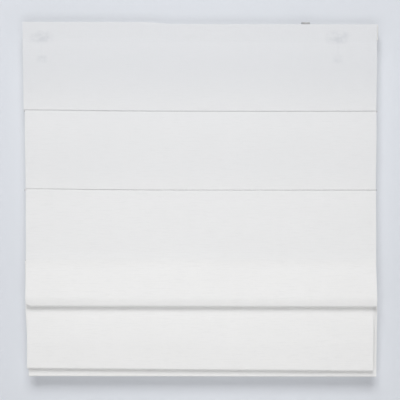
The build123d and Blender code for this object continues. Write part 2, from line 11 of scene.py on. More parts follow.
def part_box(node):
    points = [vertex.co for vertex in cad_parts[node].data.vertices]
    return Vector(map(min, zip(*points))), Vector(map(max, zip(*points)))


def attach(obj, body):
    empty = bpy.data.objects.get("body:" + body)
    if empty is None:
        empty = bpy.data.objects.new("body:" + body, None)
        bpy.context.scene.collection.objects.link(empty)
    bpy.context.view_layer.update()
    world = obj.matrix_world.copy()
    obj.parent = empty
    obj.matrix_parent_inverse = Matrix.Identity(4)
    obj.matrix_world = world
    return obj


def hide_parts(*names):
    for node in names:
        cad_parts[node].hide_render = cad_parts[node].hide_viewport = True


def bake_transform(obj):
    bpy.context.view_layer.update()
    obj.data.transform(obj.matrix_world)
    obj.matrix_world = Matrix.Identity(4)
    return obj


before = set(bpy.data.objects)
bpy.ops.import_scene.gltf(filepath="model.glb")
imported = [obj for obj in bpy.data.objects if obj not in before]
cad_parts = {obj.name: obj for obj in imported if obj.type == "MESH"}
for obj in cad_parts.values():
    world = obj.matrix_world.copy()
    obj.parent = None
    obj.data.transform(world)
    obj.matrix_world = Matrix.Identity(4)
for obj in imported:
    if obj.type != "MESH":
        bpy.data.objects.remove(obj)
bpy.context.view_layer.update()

bl_info = {
    "name": "Roman Blind",
    "version": (1, 0, 0),
    "blender": (4, 5, 0),
    "location": "View3D > Sidebar > Roman Blind",
    "description": "Dresses a packed roman blind with cloth, cords, stitching and finishes",
    "category": "Object",
}

MM = 0.001
BODY_OF_ROD = {
    "rod_1": "first_rod",
    "rod_2": "second_rod",
    "rod_3": "third_rod",
    "rod_4": "fourth_rod",
}


def middle(node):
    low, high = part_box(node)
    return (low + high) / 2


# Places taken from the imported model
CLOTH_LOW, CLOTH_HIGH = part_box("cloth")
CLOTH_WIDTH = CLOTH_HIGH.x - CLOTH_LOW.x
ROD_Z = {name: middle(name).z for name in BODY_OF_ROD}
ROD_1_Z, ROD_2_Z, ROD_3_Z, _ = ROD_Z.values()
ROD_Y = middle("rod_1").y
CORDS = {side: middle(f"lift_cord_{side}") for side in ("left", "right")}
BAR_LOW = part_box("bar_cap_left")[0]
BAR_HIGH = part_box("bar_cap_right")[1]

# How the cloth is sewn
HEM_DEPTH = 38 * MM
SEWN_GAP = 0.2 * MM  # between two layers that are sewn together
TUCK_LOOP = 2.6 * MM  # from a rod's middle to the cloth round it
TUCK_NECK_Y = ROD_Y - 1.3 * TUCK_LOOP  # where a tuck's two layers part round the rod
TUCK_GAP = 2.4 * MM  # from a rod's middle to where the panels above and below it end
TUCK_BELOW = 6.0 * MM  # the same, for the runs of the two folds
TUCK_MOUTH = (-43.4 * MM, -41.2 * MM)  # from the panels to well inside a tuck
POCKET_DEPTH = 3.6 * MM
POCKET_CLOSING, POCKET_CLOSED, POCKET_TOP = 36 * MM, 43 * MM, 50 * MM  # above the lowest edge

# How the folds hang
FOLD_1_Z = ROD_3_Z - 102.5 * MM  # the front fold's bottom
FOLD_1_RADIUS = 5.4 * MM
FOLD_1_FOOT = 3.4 * MM  # how far the front fold's foot lies behind its face
FOLD_2_Z = CLOTH_LOW.z + 17 * MM  # the second fold's bottom
FOLD_2_RADIUS = 4.2 * MM
FOLD_2_FORWARD = 4.0 * MM  # how far the second fold's foot hangs in front of its head
FOLD_2_FADE = 130 * MM  # below the front fold, where the second fold hangs by itself
LAYER_PITCH = 1.6 * MM  # from one layer of the stack to the next
STACK_FRONT = -46 * MM  # the cloth in front of this lies over the stacked tucks
LAST_PANEL_BACK = 1.2 * MM  # how far the last panel hangs behind the upper panels
BAR_BACK = 4.1 * MM  # how much further back it hangs at the bar

# How the cloth departs from its straight cut
BOW_PEAK = 27 / 4  # makes the greatest value of t * (1 - t) ** 2 come to 1
STUCK_HIGH = (270 * MM, 345 * MM)  # from the left edge: the rise is full, and is over
SEAM_RISE, SEAM_RISE_WIDTH, SEAM_DIP = 2.0 * MM, 300 * MM, 0.8 * MM
SEAM_FADE = 120 * MM  # how far below the second rod the seams' rise is over
SLANT_LEFT, SLANT_FALL = 3.0 * MM, 4.8 * MM  # the second fold's rise at its left end
CURL_WIDTH, CURL_HEIGHT = 12 * MM, 22 * MM
RIDGE_DEPTH, RIDGE_ABOVE, RIDGE_SPREAD = 1.1 * MM, 5 * MM, 11 * MM
PINCH_SHARE, PINCH_WIDTH, PINCH_HEIGHT = 0.72, 4 * MM, 6 * MM
CALM_ROD, CALM_TOP = 30 * MM, 50 * MM  # the waves are full this far away
EDGE_WANDER = 0.3 * MM
SECOND_LEFT, SECOND_RIGHT = 3.8 * MM, -4.8 * MM  # the second fold's edges
EDGES = (
    # height, then how far the left and the right edge hang to the right, all in millimetres
    (12, -3.0, -2.0),
    (-80, -2.2, -2.0),
    (-182, -1.8, -1.9),
    (-187, 1.2, -1.6),
    (-358, 1.6, -1.4),
    (-368, 2.0, -0.8),
    (-500, 2.4, -0.6),
    (-640, 3.4, 0.3),
)

# The wall screws, the room and the camera
SCREW_Z = 7 * MM  # above and below the bracket's middle
SCREW_PROFILE = (
    # radius and height above the wall, in millimetres, from the recess out and back to the wall
    (1.15, 3.6), (2.4, 3.4), (3.4, 2.8), (3.9, 1.9), (4.0, 1.6), (4.0, 1.5), (2.1, 1.5), (2.1, 0.0),
)
RECESS_RADIUS, RECESS_DEPTH, RECESS_FLOOR = 2.0, 1.1, 2.2
ROOM_HALF, ROOM_TOP, FLOOR_Z = 4.0, 3.0, -1.52
WALL_Y = 0.8 * MM
CAMERA_PLACE = (0.0347, -1.8619, -0.3195)
CAMERA_TURN = (2.09, -0.066, 0.082)  # pitch down, yaw and roll, in degrees
CAMERA_LENS = 71.9


class BlindCloth(bpy.types.PropertyGroup):
    """Sizes and colours of the cloth."""

    thickness: FloatProperty(
        name="Thickness", description="Thickness of the cloth", default=0.8 * MM, unit="LENGTH"
    )
    grid: FloatProperty(
        name="Grid", description="Spacing of the cloth's mesh", default=4 * MM, unit="LENGTH"
    )
    bow: FloatProperty(
        name="Bow",
        description="How far the two upper panels bow forward",
        default=2.0 * MM, unit="LENGTH",
    )
    unevenness: FloatProperty(
        name="Unevenness",
        description="Depth of the soft waves in the hanging cloth",
        default=0.35 * MM, unit="LENGTH",
    )
    top_rise: FloatProperty(
        name="Top rise",
        description="How much higher the cloth is stuck at its left end",
        default=4.4 * MM, unit="LENGTH",
    )
    corner_curl: FloatProperty(
        name="Corner curl",
        description="How far the front fold's left corner turns up",
        default=3.5 * MM, unit="LENGTH",
    )
    last_panel_shift: FloatProperty(
        name="Last panel shift",
        description="How far the last panel hangs to the right of the folds",
        default=5.0 * MM, unit="LENGTH",
    )
    colour: FloatVectorProperty(
        name="Cloth colour",
        description="Colour of the bleached cloth",
        default=(0.885, 0.882, 0.876), subtype="COLOR", min=0, max=1,
    )
    thread: FloatVectorProperty(
        name="Thread colour",
        description="Colour of the sewing thread",
        default=(0.8, 0.8, 0.79), subtype="COLOR", min=0, max=1,
    )
    stitch: FloatProperty(
        name="Stitch", description="Length of one stitch", default=3.2 * MM, unit="LENGTH"
    )


class BlindFinishes(bpy.types.PropertyGroup):
    """Colours of the rail, the plastic and the metal parts."""

    rail: FloatVectorProperty(
        name="Rail paint",
        description="Powder coat on the headrail",
        default=(0.82, 0.82, 0.81), subtype="COLOR", min=0, max=1,
    )
    plastic: FloatVectorProperty(
        name="White plastic",
        description="Moulded end caps, clips and bar caps",
        default=(0.84, 0.84, 0.83), subtype="COLOR", min=0, max=1,
    )
    mechanism: FloatVectorProperty(
        name="Mechanism plastic",
        description="Moulded cradles, drums and motor",
        default=(0.42, 0.43, 0.45), subtype="COLOR", min=0, max=1,
    )
    zinc: FloatVectorProperty(
        name="Zinc",
        description="Zinc plate on the brackets",
        default=(0.58, 0.59, 0.6), subtype="COLOR", min=0, max=1,
    )
    cord_turns: IntProperty(
        name="Cord turns", description="Turns of cord wound on each drum", default=16, min=1
    )
    cord_radius: FloatProperty(
        name="Cord radius", description="Radius of a lift cord", default=0.7 * MM, unit="LENGTH"
    )


class BlindStage(bpy.types.PropertyGroup):
    """The plain wall, the floor and the lamps."""

    wall: FloatVectorProperty(
        name="Wall colour",
        description="Colour of the plain wall behind the blind",
        default=(0.748, 0.773, 0.818), subtype="COLOR", min=0, max=1,
    )
    key: FloatProperty(
        name="Key lamp", description="Power of the high front lamp", default=90.0, unit="POWER"
    )
    fill: FloatProperty(
        name="Low lamp", description="Power of the low front lamp", default=5.5, unit="POWER"
    )
    back: FloatProperty(
        name="Back lamp",
        description="Power of the lamp that lights the blind's back",
        default=34.0, unit="POWER",
    )
    world: FloatProperty(
        name="Ambient", description="Strength of the plain light all round", default=0.22
    )


class Wire:
    """A socket, or a result, that takes part in written-out shader maths."""

    def __init__(self, finish, socket):
        self.finish = finish
        self.socket = socket

    def maths(self, operation, first, second=None):
        values = {0: first} if second is None else {0: first, 1: second}
        return self.finish.node("ShaderNodeMath", {"operation": operation}, values)

    def __add__(self, other):
        return self.maths("ADD", self, other)

    def __radd__(self, other):
        return self.maths("ADD", other, self)

    def __sub__(self, other):
        return self.maths("SUBTRACT", self, other)

    def __rsub__(self, other):
        return self.maths("SUBTRACT", other, self)

    def __mul__(self, other):
        return self.maths("MULTIPLY", self, other)

    def __rmul__(self, other):
        return self.maths("MULTIPLY", other, self)

    def __gt__(self, other):
        return self.maths("GREATER_THAN", self, other)

    def __abs__(self):
        return self.maths("ABSOLUTE", self)

    def sine(self):
        return self.maths("SINE", self)

    def ripple(self, pitch):
        """A sine wave that repeats at each pitch."""
        return (self * (2 * math.pi / pitch)).sine()

    def least(self, other):
        return self.maths("MINIMUM", self, other)

    def most(self, other):
        return self.maths("MAXIMUM", self, other)

    def rise(self, low, high):
        """0 below low, 1 above high, and smooth between."""
        return self.finish.node(
            "ShaderNodeMapRange",
            {"interpolation_type": "SMOOTHSTEP"},
            {"Value": self, "From Min": low, "From Max": high},
        )

    def near(self, centre, half, soft):
        """1 within half of centre, fading to 0 over soft."""
        return 1 - abs(self - centre).rise(half, half + soft)


class Finish:
    """A procedural material and the few calls that build it."""

    def __init__(self, name, roughness=0.5, metallic=0.0, specular=0.5, sheen=0.0):
        self.material = bpy.data.materials.new(name)
        self.material.use_nodes = True
        self.tree = self.material.node_tree
        self.shader = self.tree.nodes["Principled BSDF"]
        self.set("Roughness", roughness)
        self.set("Metallic", metallic)
        self.set("Specular IOR Level", specular)
        self.set("Sheen Weight", sheen)

    def node(self, kind, settings=None, sockets=None, output=0):
        made = self.tree.nodes.new(kind)
        for key, value in (settings or {}).items():
            setattr(made, key, value)
        for key, value in (sockets or {}).items():
            self.link(made.inputs[key], value)
        return Wire(self, made.outputs[output])

    def link(self, socket, value):
        if isinstance(value, Wire):
            self.tree.links.new(value.socket, socket)
        elif hasattr(value, "__len__") and len(value) == 3 and socket.type == "RGBA":
            socket.default_value = (*value, 1)
        else:
            socket.default_value = value

    def set(self, socket, value):
        self.link(self.shader.inputs[socket], value)

    def place(self):
        """Position on the object, which is its place in the room at rest."""
        return self.node("ShaderNodeTexCoord", output="Object")

    def lie(self):
        """Place on the cloth or cord itself: across it, along it and, on the cloth, which side."""
        return self.node("ShaderNodeAttribute", {"attribute_name": "lie"}, output="Vector")

    def split(self, vector):
        made = self.node("ShaderNodeSeparateXYZ", {}, {0: vector})
        outputs = made.socket.node.outputs
        return [Wire(self, outputs[i]) for i in range(3)]

    def stretch(self, vector, scale):
        return self.node(
            "ShaderNodeVectorMath", {"operation": "MULTIPLY"}, {0: vector, 1: scale}
        )

    def noise(self, vector, scale, detail=2.0, rough=0.5):
        return self.node(
            "ShaderNodeTexNoise",
            {"normalize": True},
            {"Vector": vector, "Scale": scale, "Detail": detail, "Roughness": rough},
        )

    def mix(self, factor, first, second, blend="MIX"):
        """Mixes two colours. The Mix node has its colour sockets at 6, 7 and, for the result, 2."""
        return self.node(
            "ShaderNodeMix",
            {"data_type": "RGBA", "blend_type": blend, "clamp_factor": True},
            {0: factor, 6: first, 7: second},
            output=2,
        )

    def bump(self, height, depth, strength=1.0):
        """Height is in shares of depth, and depth is in metres."""
        bumped = self.node(
            "ShaderNodeBump", {}, {"Strength": strength, "Distance": depth, "Height": height}
        )
        self.set("Normal", bumped)


def darker(colour, share):
    return tuple(c * share for c in colour)


def cloth_finish(settings):
    """Plain-woven slub cloth, with painted shade: dark marks at the top where the parts behind it show
    through, and darker, cooler upper panels.
    """
    made = Finish("slub_cloth", roughness=0.82, specular=0.2, sheen=0.06)
    lie = made.lie()
    across, along, side = made.split(lie)
    colour = settings.colour

    # Slubs: short thick stretches of weft, in scattered rows
    broad = made.noise(made.stretch(lie, (30, 380, 0)), 1.0, 3.0, 0.65)
    fine = made.noise(made.stretch(lie, (90, 1500, 0)), 1.0, 1.0, 0.5)
    slub = broad.rise(0.48, 0.68) * 0.8 + fine.rise(0.5, 0.72) * 0.45
    warp = made.noise(made.stretch(lie, (1500, 25, 0)), 1.0, 1.0, 0.5)
    cloudy = made.noise(made.stretch(lie, (7, 9, 0)), 1.0, 3.0, 0.55)
    weave = along.ripple(0.9 * MM) * across.ripple(0.8 * MM)

    tone = made.mix(slub.least(1.0), colour, darker(colour, 0.96))
    tone = made.mix(warp.rise(0.55, 0.8) * 0.3, tone, darker(colour, 0.95))
    tone = made.mix(cloudy.rise(0.35, 0.7) * 0.35, tone, darker(colour, 0.965))

    x, _, z = made.split(made.place())
    front = side > 0.5
    # Painted shade: dark marks on the cloth's front where the parts behind it show through
    painted_shade_colour = (0.42, 0.44, 0.47)
    tone = made.mix(painted_shade_behind(made, x, z) * front * 0.5, tone, painted_shade_colour)

    # Painted shade: one layer of cloth lets more light through than the stacked layers do, so the upper
    # panels are painted darker and cooler
    single = z.rise(ROD_3_Z - 6 * MM, ROD_3_Z + 14 * MM) * 0.2
    second = z.rise(ROD_2_Z - 30 * MM, ROD_2_Z + 60 * MM) * 0.16
    first = z.rise(ROD_1_Z - 40 * MM, ROD_1_Z + 120 * MM) * 0.42
    cool_shade = darker((0.835, 0.85, 0.88), 0.87)
    tone = made.mix((single + second + first) * front, tone, cool_shade)
    made.set("Base Color", tone)
    made.set("Roughness", 0.8 + slub * 0.06)
    made.bump(weave * 0.3 + slub * 0.8 + warp * 0.35 + fine * 0.3, 0.09 * MM, 0.8)
    return made.material


def painted_shade_behind(made, x, z):
    """Painted shade at the top: dark marks where cradles, cord guides, cords and the rail's foot show
    through.
    """
    marks = []
    for side, cord in CORDS.items():
        cradle_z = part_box(f"drum_cradle_{side}")[1].z - 18 * MM
        guide_z = middle(f"cord_guide_{side}").z
        cradle = x.near(cord.x, 10 * MM, 24 * MM) * z.near(cradle_z, 5 * MM, 14 * MM)
        guide = x.near(cord.x, 3 * MM, 13 * MM) * z.near(guide_z, 3 * MM, 10 * MM)
        run = x.near(cord.x, 0.8 * MM, 4 * MM) * z.near(-44 * MM, 14 * MM, 18 * MM)
        marks.append(cradle * 1.3 + guide * 0.9 + run * 0.2)
    mottle = made.noise(made.stretch(made.place(), (60, 60, 85)), 1.0, 3.0, 0.6)
    rail_foot = z.near(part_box("headrail")[0].z - 3 * MM, 0.6 * MM, 4 * MM)
    return sum(marks) * (mottle.rise(0.3, 0.62) * 1.1 + 0.25) + rail_foot * 0.11


def thread_finish(settings):
    made = Finish("sewing_thread", roughness=0.6, specular=0.3, sheen=0.1)
    place = made.place()
    x, _, z = made.split(place)
    twist = (x + z * 1.7).ripple(0.5 * MM)
    grain = made.noise(place, 2500, 1.0)
    made.set("Base Color", made.mix(grain, settings.thread, darker(settings.thread, 0.9)))
    made.bump(twist, 0.04 * MM, 0.6)
    return made.material


def cord_finish():
    """Round braid: two sets of strands that cross at an angle, with painted shade in the hollows
    between them.
    """
    made = Finish("braided_cord", roughness=0.7, specular=0.3, sheen=0.1)
    turn, along, _ = made.split(made.lie())
    round_cord = turn * (2 * math.pi * 4)
    along_cord = along * (2 * math.pi / (3 * MM))
    left_lay = (round_cord + along_cord).sine()
    right_lay = (round_cord - along_cord).sine()
    braid = left_lay.most(right_lay)
    painted_hollow_shade = 1 - braid.rise(-0.2, 0.6)
    # Painted shade: the braid is darker in its hollows
    made.set("Base Color", made.mix(painted_hollow_shade * 0.5, (0.8, 0.8, 0.78), (0.55, 0.55, 0.53)))
    made.bump(braid, 0.1 * MM, 0.9)
    return made.material


def moulded(name, colour, roughness=0.42, grain=0.03):
    """Moulded plastic with a fine spark-eroded texture and slight flow clouds."""
    made = Finish(name, roughness=roughness, specular=0.5)
    place = made.place()
    cloud = made.noise(place, 60, 3.0, 0.6)
    pits = made.noise(place, 2600, 2.0, 0.6)
    scuffs = made.noise(made.stretch(place, (40, 300, 300)), 3.0, 3.0, 0.7).rise(0.62, 0.74)
    made.set("Base Color", made.mix(cloud.rise(0.3, 0.75), colour, darker(colour, 0.94)))
    made.set("Roughness", roughness - 0.05 + pits * 0.1 + scuffs * 0.08)
    made.bump(pits, grain * MM, 0.6)
    return made.material


def powder_coat(name, colour):
    """Powder coat with fine orange peel, worn a little on its edges."""
    made = Finish(name, roughness=0.38, specular=0.5)
    place = made.place()
    peel = made.noise(place, 900, 2.0, 0.5)
    cloud = made.noise(place, 14, 2.0, 0.5)
    rubs = made.noise(made.stretch(place, (5, 160, 160)), 2.0, 4.0, 0.7).rise(0.66, 0.75)
    tone = made.mix(cloud.rise(0.3, 0.7) * 0.5, colour, darker(colour, 0.96))
    made.set("Base Color", made.mix(rubs * 0.35, tone, darker(colour, 0.8)))
    made.set("Roughness", 0.34 + peel * 0.1 + rubs * 0.1)
    made.bump(peel, 0.05 * MM, 0.5)
    return made.material


def zinc_plate(colour):
    """Bright zinc on pressed steel: a faint spangle, press marks and hazy spots."""
    made = Finish("zinc_plate", roughness=0.34, metallic=1.0)
    place = made.place()
    spangle = made.node(
        "ShaderNodeTexVoronoi", {"feature": "F1"}, {"Vector": place, "Scale": 340}, output="Color"
    )
    brush = made.noise(made.stretch(place, (700, 60, 60)), 1.0, 3.0, 0.6)
    haze = made.noise(place, 90, 3.0, 0.6).rise(0.45, 0.7)
    grey = made.mix(0.12, colour, spangle, "SOFT_LIGHT")
    made.set("Base Color", made.mix(haze * 0.4, grey, darker(colour, 0.8)))
    made.set("Roughness", 0.26 + haze * 0.16 + brush * 0.08)
    made.bump(brush, 0.02 * MM, 0.4)
    return made.material


def drawn_metal(name, colour, roughness, axis_scale):
    """Drawn or rolled metal with fine lines along it."""
    made = Finish(name, roughness=roughness, metallic=1.0)
    place = made.place()
    lines = made.noise(made.stretch(place, axis_scale), 1.0, 3.0, 0.6)
    haze = made.noise(place, 45, 2.0, 0.5)
    made.set("Base Color", made.mix(lines.rise(0.35, 0.7), colour, darker(colour, 0.82)))
    made.set("Roughness", roughness - 0.06 + lines * 0.12 + haze * 0.05)
    made.bump(lines, 0.015 * MM, 0.4)
    return made.material


def tape_finish(name, colour, scale, depth):
    """Hook or loop tape: a dense field of little hooks or loops."""
    made = Finish(name, roughness=0.85, specular=0.2, sheen=0.2)
    place = made.place()
    tufts = made.node(
        "ShaderNodeTexVoronoi", {"feature": "F1"}, {"Vector": place, "Scale": scale}
    )
    fuzz = made.noise(place, 3 * scale, 2.0)
    made.set("Base Color", made.mix(tufts.rise(0.1, 0.6), colour, darker(colour, 0.6)))
    made.bump(tufts + fuzz * 0.4, depth, 1.0)
    return made.material


def rounded(points, radii, step):
    """Points along a line of (y, z) corners, each rounded to its radius."""
    straight, same_place, widest_turn = 1e-5, 1e-7, math.radians(15)
    corners = [Vector(p) for p in points]
    line = [corners[0]]
    for before, corner, after, radius in zip(corners, corners[1:], corners[2:], radii):
        way_in = (corner - before).normalized()
        way_out = (after - corner).normalized()
        turn = way_in.angle(way_out)
        if turn < straight:
            line.append(corner)
            continue
        reach = radius * math.tan(turn / 2)
        arc_start = corner - way_in * reach
        bisector = (way_out - way_in).normalized()
        centre = corner + bisector * (radius / math.cos(turn / 2))
        pieces = max(math.ceil(radius * turn / step), math.ceil(turn / widest_turn))
        spoke = arc_start - centre
        sense = 1 if way_in.x * way_out.y - way_in.y * way_out.x > 0 else -1
        for i in range(pieces + 1):
            angle = sense * turn * i / pieces
            spin = Matrix.Rotation(angle, 2)
            line.append(centre + spin @ spoke)
    line.append(corners[-1])
    spaced = [line[0]]
    for start, finish in zip(line, line[1:]):
        gap = (finish - start).length
        if gap < same_place:
            continue
        count = max(1, math.ceil(gap / step))
        spaced += [start.lerp(finish, i / count) for i in range(1, count + 1)]
    return spaced


def smooth(value, low, high):
    t = min(1.0, max(0.0, (value - low) / (high - low)))
    return t * t * (3 - 2 * t)


def waves(seed, count, wide, tall):
    """A soft, repeatable unevenness over x and z, within -1 and 1."""
    draw = random.Random(seed)
    terms = []
    for _ in range(count):
        terms.append(
            (
                draw.uniform(0.6, 1.5) * 2 * math.pi / wide,
                draw.uniform(0.6, 1.5) * 2 * math.pi / tall,
                draw.uniform(0, 2 * math.pi),
                draw.uniform(0.5, 1.0),
            )
        )
    total = sum(weight for _, _, _, weight in terms)

    def height(x, z):
        return sum(w * math.sin(a * x + b * z + c) for a, b, c, w in terms) / total

    return height


slack = waves(seed=7, count=6, wide=0.42, tall=0.5)
edge_wave = waves(seed=19, count=4, wide=0.9, tall=0.16)


def edge_offsets(z):
    height = z / MM
    for (high, left_1, right_1), (low, left_2, right_2) in zip(EDGES, EDGES[1:]):
        if height >= low or low == EDGES[-1][0]:
            t = min(1.0, max(0.0, (high - height) / (high - low)))
            return (left_1 + (left_2 - left_1) * t) * MM, (right_1 + (right_2 - right_1) * t) * MM


def share_across(x):
    """0 at the cloth's left edge and 1 at its right edge."""
    return (x - CLOTH_LOW.x) / CLOTH_WIDTH


def into_tuck(y):
    """0 on the panels and 1 well inside a tuck."""
    return smooth(y, *TUCK_MOUTH)


def below_front_fold(z):
    """0 above the front fold's bottom and 1 where the second fold hangs by itself."""
    return 1 - smooth(z, FOLD_1_Z - FOLD_2_FADE, FOLD_1_Z)


class Drape:
    """Where each point of the cloth really hangs, against its straight path."""

    def __init__(self, settings):
        self.settings = settings

    def bow(self, z):
        """Forward bow of the two upper panels, greatest in their upper third."""
        for high, low in ((CLOTH_HIGH.z - HEM_DEPTH, ROD_1_Z), (ROD_1_Z, ROD_2_Z)):
            if low < z < high:
                t = (high - z) / (high - low)
                return BOW_PEAK * t * (1 - t) ** 2 * self.settings.bow
        return 0.0

    def rise(self, x, z):
        """The cloth is stuck higher at its left end, and its seams follow a little."""
        from_left = x - CLOTH_LOW.x
        top = smooth(z, ROD_1_Z, CLOTH_HIGH.z)
        stuck = (1 - smooth(from_left, *STUCK_HIGH)) * top * self.settings.top_rise
        seams = (1 - smooth(from_left, 0.0, SEAM_RISE_WIDTH)) * SEAM_RISE
        seams -= math.sin(math.pi * share_across(x)) * SEAM_DIP
        return stuck + seams * smooth(z, ROD_2_Z - SEAM_FADE, ROD_2_Z) * (1 - top)

    def slant(self, x, z):
        """The second fold hangs a little lower at its right end."""
        return (SLANT_LEFT - SLANT_FALL * share_across(x)) * below_front_fold(z)

    def curl(self, x, z):
        """The front fold's left corner turns up."""
        near_edge = 1 - smooth(x, CLOTH_LOW.x, CLOTH_LOW.x + CURL_WIDTH)
        low = 1 - smooth(z, FOLD_1_Z, FOLD_1_Z + CURL_HEIGHT)
        return near_edge * low * self.settings.corner_curl

    def ridge(self, z):
        """The stacked tucks press a soft ridge into the third panel."""
        away = (z - ROD_3_Z - RIDGE_ABOVE) / RIDGE_SPREAD
        return RIDGE_DEPTH * math.exp(-away * away)

    def side_shift(self, x, y, z, kind):
        """How far the cloth's two edges hang from their straight cut, and all between them."""
        t = share_across(x)
        wander = edge_wave(x, z) * EDGE_WANDER * abs(2 * t - 1)
        hang = 1 - smooth(z, FOLD_1_Z - 20 * MM, ROD_3_Z - 10 * MM)
        if kind == "last":
            return wander + hang * self.settings.last_panel_shift
        if kind in ("second_front", "second_back"):
            share = hang if kind == "second_front" else below_front_fold(z)
            left, right = SECOND_LEFT * share, SECOND_RIGHT * share
        elif kind == "stack":
            left, right = 0.0, 0.0
        else:
            left, right = (offset * (1 - into_tuck(y)) for offset in edge_offsets(z))
        return wander + left + (right - left) * t

    def pinch(self, x, y, z):
        """Beyond the ends of the bar, the pocket's two layers lie flat together."""
        shift = self.settings.last_panel_shift
        past = max(BAR_LOW.x - x - shift, x + shift - BAR_HIGH.x)
        low = 1 - smooth(z, BAR_HIGH.z, BAR_HIGH.z + PINCH_HEIGHT)
        return -PINCH_SHARE * smooth(past, 0.0, PINCH_WIDTH) * low * max(0.0, y - BAR_LOW.y)

    def move(self, x, y, z, kind):
        """How far a point of a run of this kind moves to the right, back and up."""
        from_rods = [abs(z - rod_z) / CALM_ROD for rod_z in (ROD_1_Z, ROD_2_Z, ROD_3_Z)]
        calm = min(1.0, abs(CLOTH_HIGH.z - z) / CALM_TOP, *from_rods)
        dy = slack(x, z) * self.settings.unevenness * calm
        dz = 0.0
        if kind == "panel":
            dy -= self.bow(z)
        if kind == "front":
            dz += self.curl(x, z)
            if y < STACK_FRONT:
                dy -= self.ridge(z)
        if kind in ("panel", "tuck", "front"):
            dz += self.rise(x, z) * (1 - into_tuck(y))
        if kind in ("second_front", "second_back"):
            dz += self.slant(x, z)
        if kind == "last":
            dy += self.pinch(x, y, z)
        return self.side_shift(x, y, z, kind), dy, dz


def put(name, data):
    """A new object of this mesh, lamp or camera, in the scene."""
    made = bpy.data.objects.new(name, data)
    bpy.context.scene.collection.objects.link(made)
    return made


def mesh_piece(name, points, faces, material, lie=None, sharp=()):
    mesh = bpy.data.meshes.new(name)
    mesh.from_pydata(points, [], faces)
    mesh.polygons.foreach_set("use_smooth", [True] * len(mesh.polygons))
    if sharp:
        edges = {tuple(sorted(edge.vertices)): edge for edge in mesh.edges}
        for pair in sharp:
            edges[tuple(sorted(pair))].use_edge_sharp = True
    if lie:
        held = mesh.attributes.new("lie", "FLOAT_VECTOR", "POINT")
        held.data.foreach_set("vector", [c for point in lie for c in point])
    mesh.materials.append(material)
    return put(name, mesh)


def sheet_piece(name, path, start_length, kind, drape, material):
    """A closed thin sheet along a path of (y, z) points, as wide as the cloth."""
    half = drape.settings.thickness / 2
    columns = round(CLOTH_WIDTH / drape.settings.grid) + 1
    xs = [CLOTH_LOW.x + CLOTH_WIDTH * i / (columns - 1) for i in range(columns)]
    rows = len(path)
    lengths = [start_length]
    for before, after in zip(path, path[1:]):
        lengths.append(lengths[-1] + (after - before).length)
    points, lie = [], []
    for face in (1, -1):
        for row, (y, z) in enumerate(path):
            ahead = path[min(row + 1, rows - 1)] - path[max(row - 1, 0)]
            ahead.normalize()
            out_y, out_z = face * half * ahead.y, -face * half * ahead.x
            for x in xs:
                dx, dy, dz = drape.move(x, y, z, kind)
                points.append((x + dx, y + dy + out_y, z + dz + out_z))
                lie.append((x, lengths[row], 1.0 if face > 0 else 0.0))
    back = rows * columns
    faces = []
    for row in range(rows - 1):
        for column in range(columns - 1):
            a = row * columns + column
            b, c, d = a + 1, a + columns + 1, a + columns
            faces.append((a, d, c, b))
            faces.append((back + a, back + b, back + c, back + d))
    ring = list(range(columns))
    ring += [row * columns + columns - 1 for row in range(1, rows)]
    ring += [(rows - 1) * columns + column for column in range(columns - 2, -1, -1)]
    ring += [row * columns for row in range(rows - 2, 0, -1)]
    sharp = []
    for a, b in zip(ring, ring[1:] + ring[:1]):
        faces.append((a, b, back + b, back + a))
        sharp += [(a, b), (back + a, back + b)]
    piece = mesh_piece(name, points, faces, material, lie, sharp)
    return piece, lengths[-1]


def tuck(y_in, y_out, z, start, finish):
    """The path round a rod at z, from the layer at y_in above it to the one at y_out below it."""
    crease, neck, lead = 1.15 * MM, 0.45 * MM, 2.2 * MM
    tight, soft = 1.0 * MM, 1.2 * MM
    corners = []
    for side, layer_y in ((1, y_in), (-1, y_out)):
        lead_y = min(layer_y + lead, TUCK_NECK_Y - SEWN_GAP)
        way_round = [
            ((layer_y, z + side * crease), soft),
            ((lead_y, z + side * neck), tight),
            ((TUCK_NECK_Y, z + side * neck), tight),
            ((ROD_Y - 0.7 * TUCK_LOOP, z + side * TUCK_LOOP), soft),
            ((ROD_Y + TUCK_LOOP, z + side * TUCK_LOOP), TUCK_LOOP - 0.1 * MM),
        ]
        corners += way_round[::side]
    points, radii = zip(*corners)
    return [(y_in, start), *points, (y_out, finish)], radii


